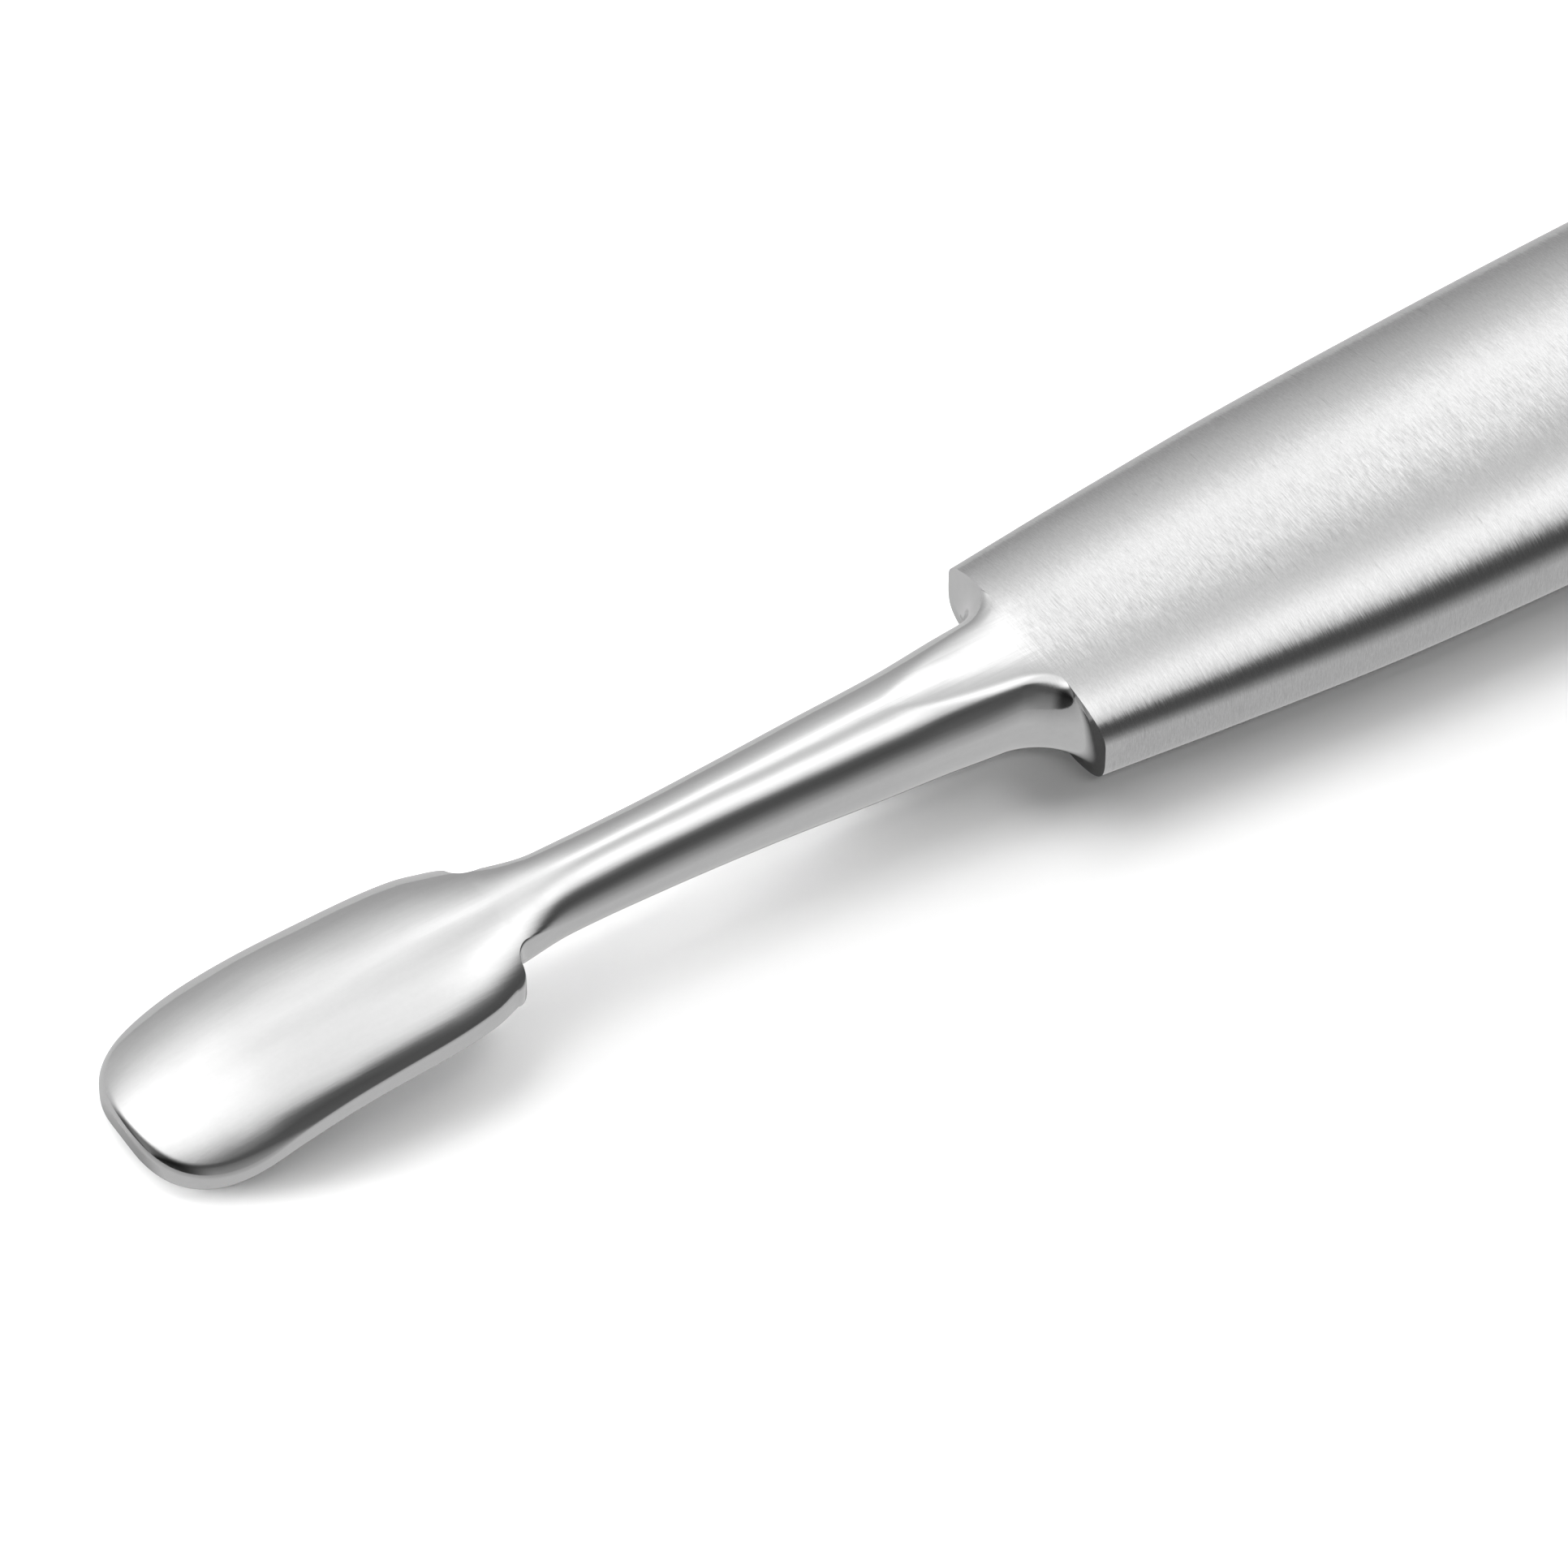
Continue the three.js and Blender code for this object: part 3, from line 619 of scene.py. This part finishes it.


def steel(name):
    """stainless steel: polished in front of the shoulder, brushed round the section behind it"""
    material, graph = new_material(name)
    point = graph.point_mm()
    normal = graph.new("ShaderNodeNewGeometry").outputs["Normal"]

    # 0 = polished, 1 = brushed: a ragged line at the shoulder; faces turned forward stay polished
    ragged = graph.noise(point, stretch=(1.2, 2.2, 2.2), detail=3.0, rough=0.6)
    line = graph.math("MULTIPLY_ADD", graph.math("SUBTRACT", ragged, 0.5), FADE_RAG,
                      graph.separate(point)[0])
    brushed = graph.remap(line, (X_SHOULDER - FADE_FRONT, X_SHOULDER + FADE_BACK), smooth=True)
    sideways = graph.remap(graph.separate(normal)[0], (-0.75, -0.45), smooth=True)
    brushed = graph.mul(brushed, sideways)

    # brush lines: fine along X, long round the section
    fine = graph.noise(point, stretch=(24.0, 2.0, 2.0), detail=5.0, rough=0.7)
    mid = graph.noise(point, stretch=(7.0, 0.8, 0.8), detail=4.0, rough=0.6)
    sparse = graph.noise(point, stretch=(9.0, 0.8, 0.8))
    deep = graph.math("POWER", graph.remap(sparse, (0.62, 0.8)), 1.5)
    cloud = graph.noise(point, stretch=(0.25, 0.5, 0.5), detail=3.0, rough=0.55)
    grain = graph.noise(point, stretch=(30.0, 5.0, 5.0), detail=3.0, rough=0.7)

    # polished metal: faint lines along the tool, a slow waviness, specks and smears
    lines = graph.noise(point, stretch=(0.35, 9.0, 9.0), detail=5.0, rough=0.6)
    wave = graph.noise(point, stretch=(0.45, 1.1, 1.1))
    specks = graph.noise(point, scale=5.0, detail=4.0, rough=0.6)
    smear = graph.noise(point, stretch=(0.3, 2.2, 2.2), detail=4.0, rough=0.6)

    # tilting the normal sideways makes the edges of the reflections ragged
    side = graph.vector("CROSS_PRODUCT", {0: normal, 1: (1.0, 0.0, 0.0)})
    tilt_brush = graph.add(graph.swing(fine, TILT_FINE), graph.swing(mid, TILT_MID))
    tilt_polish = graph.add(graph.swing(wave, TILT_WAVE), graph.swing(lines, TILT_LINES))
    tilt = graph.vector("SCALE", {0: side, 3: graph.mix(brushed, tilt_polish, tilt_brush)})
    bent = graph.vector("NORMALIZE", {0: graph.vector("ADD", {0: normal, 1: tilt})})

    height_brush = graph.add(graph.mul(fine, gain=0.55), graph.mul(mid, gain=0.3))
    height_brush = graph.math("SUBTRACT", height_brush, graph.mul(deep, gain=0.35))
    height_polish = graph.add(graph.mul(lines, gain=0.7), graph.mul(specks, gain=0.3))
    bump = graph.new("ShaderNodeBump", {
        "Distance": 0.00001,
        "Strength": graph.mix(brushed, BUMP_POLISH, BUMP_BRUSH),
        "Height": graph.mix(brushed, height_polish, height_brush),
        "Normal": bent})

    rough_brush = graph.around(ROUGH_BRUSH, mid, gain=0.12)
    rough_brush = graph.add(rough_brush, graph.swing(cloud, gain=0.08))
    rough_polish = graph.around(ROUGH_POLISH, wave, gain=0.06)
    grey_brush = graph.around(GREY_BRUSH, fine, gain=0.18)
    grey_brush = graph.math("SUBTRACT", grey_brush, graph.mul(deep, gain=0.10))
    grey_brush = graph.add(grey_brush, graph.swing(grain, gain=0.22))
    # the smear adds 0.03 on average
    grey_polish = graph.around(GREY_POLISH - 0.03, specks, gain=0.03)
    grey_polish = graph.add(grey_polish, graph.mul(smear, gain=0.06))
    # the metal is darker only for light it bounces onto the table, which paints deeper shade there
    dim = graph.mix(graph.ray("Is Diffuse Ray"), 1.0, METAL_ON_FLOOR)
    along_x = graph.new("ShaderNodeCombineXYZ", {0: 1.0, 1: 0.0, 2: 0.0})
    graph.surface(graph.new("ShaderNodeBsdfPrincipled", {
        "Metallic": 1.0,
        "Base Color": graph.grey(graph.mul(graph.mix(brushed, grey_polish, grey_brush), dim)),
        "Roughness": graph.mix(brushed, rough_polish, rough_brush),
        "Anisotropic": graph.mix(brushed, 0.0, ANISO),
        "Tangent": along_x.outputs[0],
        "Normal": bump.outputs[0]}))
    return material


def inner_metal(name, grey, rough, stretch):
    """plain lined metal for the core and pins"""
    material, graph = new_material(name)
    point = graph.point_mm()
    lines = graph.noise(point, stretch=stretch, detail=4.0, rough=0.6)
    blotch = graph.noise(point, scale=0.8, detail=3.0)
    tone = graph.add(grey - 0.06, graph.mul(graph.add(lines, blotch), gain=0.06))
    bump = graph.new("ShaderNodeBump", {"Distance": 0.00002, "Strength": 0.4, "Height": lines})
    graph.surface(graph.new("ShaderNodeBsdfPrincipled", {
        "Metallic": 1.0,
        "Base Color": graph.grey(tone),
        "Roughness": graph.around(rough, lines, gain=0.1),
        "Normal": bump.outputs[0]}))
    return material


# ------------------------------------------------------------------ pieces
def fit(piece, material, part):
    piece.data.materials.append(material)
    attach(piece, "root")
    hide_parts(part)


mat_work = steel("steel_working_end")
mat_shell = steel("steel_brushed")
mat_core = inner_metal("core_aluminium", grey=0.66, rough=0.45, stretch=(8.0, 1.0, 1.0))
mat_pin = inner_metal("pin_steel", grey=0.52, rough=0.3, stretch=(2.0, 2.0, 14.0))

fit(working_end(), mat_work, "working_end")
fit(tang(), mat_work, "working_end")
fit(shell("handle_upper_v", upper=True), mat_shell, "handle_upper_shell")
fit(shell("handle_lower_v", upper=False), mat_shell, "handle_lower_shell")

for node, material in (("handle_core", mat_core), ("tang_pin_front", mat_pin),
                       ("tang_pin_rear", mat_pin)):
    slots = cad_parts[node].data.materials
    slots.clear()
    slots.append(material)

# ------------------------------------------------------------------ floor
FLOOR_HALF, FLOOR_Z = 3.0, -0.00003       # metres
FLOOR_GREY, FLOOR_GREY_SEEN = 0.8, 0.33   # paper; a darker grey of it that reflections see: painted shade in the metal
FLOOR_NEAR, FLOOR_FAR = 0.74, 0.5         # painted reflection: the floor's glow in the metal, looking down and to the horizon


def floor_white():
    """white paper; in reflections it glows as painted light, though it is no lamp, except along
    rays from well on the near side, which see the paper darker in painted shade
    """
    material, graph = new_material("floor_white")
    glossy = graph.ray("Is Glossy Ray")
    paper = graph.noise(graph.point_mm(), scale=0.4, detail=3.0)
    base = graph.around(FLOOR_GREY, paper, gain=0.01)
    # reflected rays see the paper at a darker grey: painted shade
    tone = graph.grey(graph.mix(glossy, base, FLOOR_GREY_SEEN))
    diffuse = graph.new("ShaderNodeBsdfDiffuse", {"Color": tone})
    incoming = graph.separate(graph.new("ShaderNodeNewGeometry").outputs["Incoming"])
    glow = graph.remap(incoming[2], (0.0, 0.5), (FLOOR_FAR, FLOOR_NEAR))
    # painted reflection: the floor glows for reflected rays, brighter looking down
    emission = graph.new("ShaderNodeEmission", {"Color": graph.grey(glow)})
    seen = graph.mul(glossy, graph.remap(incoming[1], (-0.42, -0.12)))
    graph.surface(graph.new("ShaderNodeMixShader", {
        0: seen, 1: diffuse.outputs[0], 2: emission.outputs[0]}))
    return material


mesh = bpy.data.meshes.new("floor")
corners = [(-1, -1), (1, -1), (1, 1), (-1, 1)]
mesh.from_pydata([(x * FLOOR_HALF, y * FLOOR_HALF, FLOOR_Z) for x, y in corners], [],
                 [(0, 1, 2, 3)])
floor = add_object("floor", mesh)
floor.data.materials.append(floor_white())

# ------------------------------------------------------------------ studio light
# Room brightness round the tool's long axis: (degrees, brightness), where 0 is the near
# horizon, 90 overhead and 180 the far horizon. One table for each range of direction along X.
PROFILE = [
    (0, 0.48), (8, 0.40), (16, 0.32), (25, 0.21), (35, 0.14), (45, 0.11), (56, 0.13), (62, 0.19),
    (67, 0.32), (71, 0.54), (76, 0.9), (80, 1.2), (84, 1.48), (88, 1.68), (92, 1.83), (97, 1.9),
    (101, 1.84), (105, 1.56), (109, 1.24), (113, 1.02), (117, 0.95), (121, 1.05), (124, 1.4),
    (127, 1.98), (130, 1.98), (133, 1.5), (137, 1.14), (142, 0.94), (148, 0.8), (156, 0.68),
    (165, 0.58), (180, 0.54)]
PROFILE_BLADE = [
    (0, 0.46), (20, 0.26), (35, 0.16), (45, 0.14), (58, 0.11), (66, 0.15), (70, 0.4), (75, 0.92),
    (80, 1.14), (86, 1.3), (95, 1.36), (105, 1.4), (115, 1.34), (125, 1.5), (135, 1.38),
    (145, 1.09), (155, 0.83), (165, 0.66), (180, 0.55)]
PROFILE_NOSE = [
    (0, 0.4), (20, 0.3), (35, 0.22), (45, 0.13), (56, 0.14), (65, 0.4), (75, 0.9), (85, 1.45),
    (95, 1.85), (105, 1.99), (128, 1.99), (135, 1.75), (145, 1.42), (155, 1.04), (165, 0.84),
    (180, 0.76)]
# X of the direction over which one table gives way to the next, and the room darkens
BLADE_FADE, NOSE_FADE, DARK_FADE, DARK = (0.33, 0.22), (0.15, -0.35), (-0.5, -0.85), 0.14
FILL = 0.02    # what the room gives to diffuse surfaces
# Soft lights: degrees up from the far horizon, degrees towards the butt, strength
SUNS = [
    (6.0, -72.0, 6.52), (6.0, -56.0, 10.21), (6.0, -40.0, 6.27), (6.0, -24.0, 2.8),
    (6.0, -8.0, 2.66), (14.0, -8.0, 1.27), (14.0, 40.0, 0.31), (14.0, 56.0, 4.26),
    (36.0, -8.0, 0.32), (36.0, 8.0, 0.52), (36.0, 24.0, 1.05), (36.0, 56.0, 0.43),
    (50.0, -24.0, 0.05), (50.0, -8.0, 0.14), (50.0, 8.0, 0.56), (50.0, 24.0, 0.39),
    (50.0, 40.0, 0.17), (68.0, 24.0, 0.08), (68.0, 40.0, 0.49), (68.0, 56.0, 0.34),
    (92.0, -72.0, 0.08), (92.0, 40.0, 0.58), (125.0, -24.0, 0.07), (125.0, 8.0, 0.44),
    (125.0, 24.0, 0.11), (155.0, -40.0, 0.17), (155.0, -24.0, 0.21), (155.0, -8.0, 0.22)]
SUN_SIZE = 22.0


def ramp(graph, stops, place):
    """brightness from a table, halved in the ramp and doubled after it to stay within 0 to 1"""
    node = graph.new("ShaderNodeValToRGB", {0: place})
    node.color_ramp.interpolation = "LINEAR"
    elements = node.color_ramp.elements
    while len(elements) > 1:
        elements.remove(elements[-1])
    for i, (degrees, value) in enumerate(stops):
        element = elements[0] if i == 0 else elements.new(degrees / 180.0)
        element.position = degrees / 180.0
        element.color = (value / 2, value / 2, value / 2, 1)
    level = graph.new("ShaderNodeSeparateColor", {0: node.outputs[0]}).outputs[0]
    return graph.mul(level, gain=2.0)


def studio():
    world = bpy.data.worlds.new("studio")
    bpy.context.scene.world = world
    graph = Graph(world)
    world.cycles.sampling_method = "NONE"
    x, y, z = graph.separate(graph.new("ShaderNodeTexCoord").outputs["Generated"])
    angle = graph.math("DEGREES", graph.math("ARCTAN2", z, graph.mul(y, -1.0)))
    place = graph.math("DIVIDE", angle, 180.0, clamp=True)
    along, nose, blade = (ramp(graph, stops, place)
                          for stops in (PROFILE, PROFILE_NOSE, PROFILE_BLADE))
    room = graph.mix(graph.remap(x, BLADE_FADE, smooth=True), along, blade)
    room = graph.mix(graph.remap(x, NOSE_FADE, smooth=True), room, nose)
    room = graph.mul(room, graph.remap(x, DARK_FADE, (1.0, DARK), smooth=True))
    level = graph.mix(graph.ray("Is Diffuse Ray"), room, FILL)
    background = graph.new("ShaderNodeBackground", {"Color": graph.grey(level), "Strength": 1.0})
    graph.surface(background, output="ShaderNodeOutputWorld")


studio()

# soft light for the table, kept out of the metal
for k, (up, side, power) in enumerate(SUNS):
    up, side = math.radians(up), math.radians(side)
    toward = Vector((math.sin(side), math.cos(side) * math.cos(up), math.cos(side) * math.sin(up)))
    sun = bpy.data.lights.new("table_light_%02d" % k, "SUN")
    sun.energy = power
    sun.angle = math.radians(SUN_SIZE)
    lamp = add_object(sun.name, sun)
    lamp.rotation_euler = toward.to_track_quat("Z", "Y").to_euler()
    lamp.visible_glossy = False

# ------------------------------------------------------------------ camera
AZIMUTH, ELEVATION = math.radians(-32.9194), math.radians(48.7731)
DISTANCE, TARGET = 263.578, Vector((-37.9636, 0.4451, 1.0))
SENSOR_WIDTH, LENS = 36.0, 213.396514

back = Vector((math.sin(AZIMUTH) * math.cos(ELEVATION), -math.cos(AZIMUTH) * math.cos(ELEVATION),
               math.sin(ELEVATION)))
camera = bpy.data.cameras.new("camera")
camera.sensor_width = SENSOR_WIDTH
camera.lens = LENS
camera.clip_start = 0.005
camera.clip_end = 20
holder = add_object("camera", camera)
holder.location = (TARGET + back * DISTANCE) * MM
holder.rotation_euler = back.to_track_quat("Z", "Y").to_euler()
scene = bpy.context.scene
scene.camera = holder
scene.view_settings.view_transform = "Standard"
scene.view_settings.look = "None"
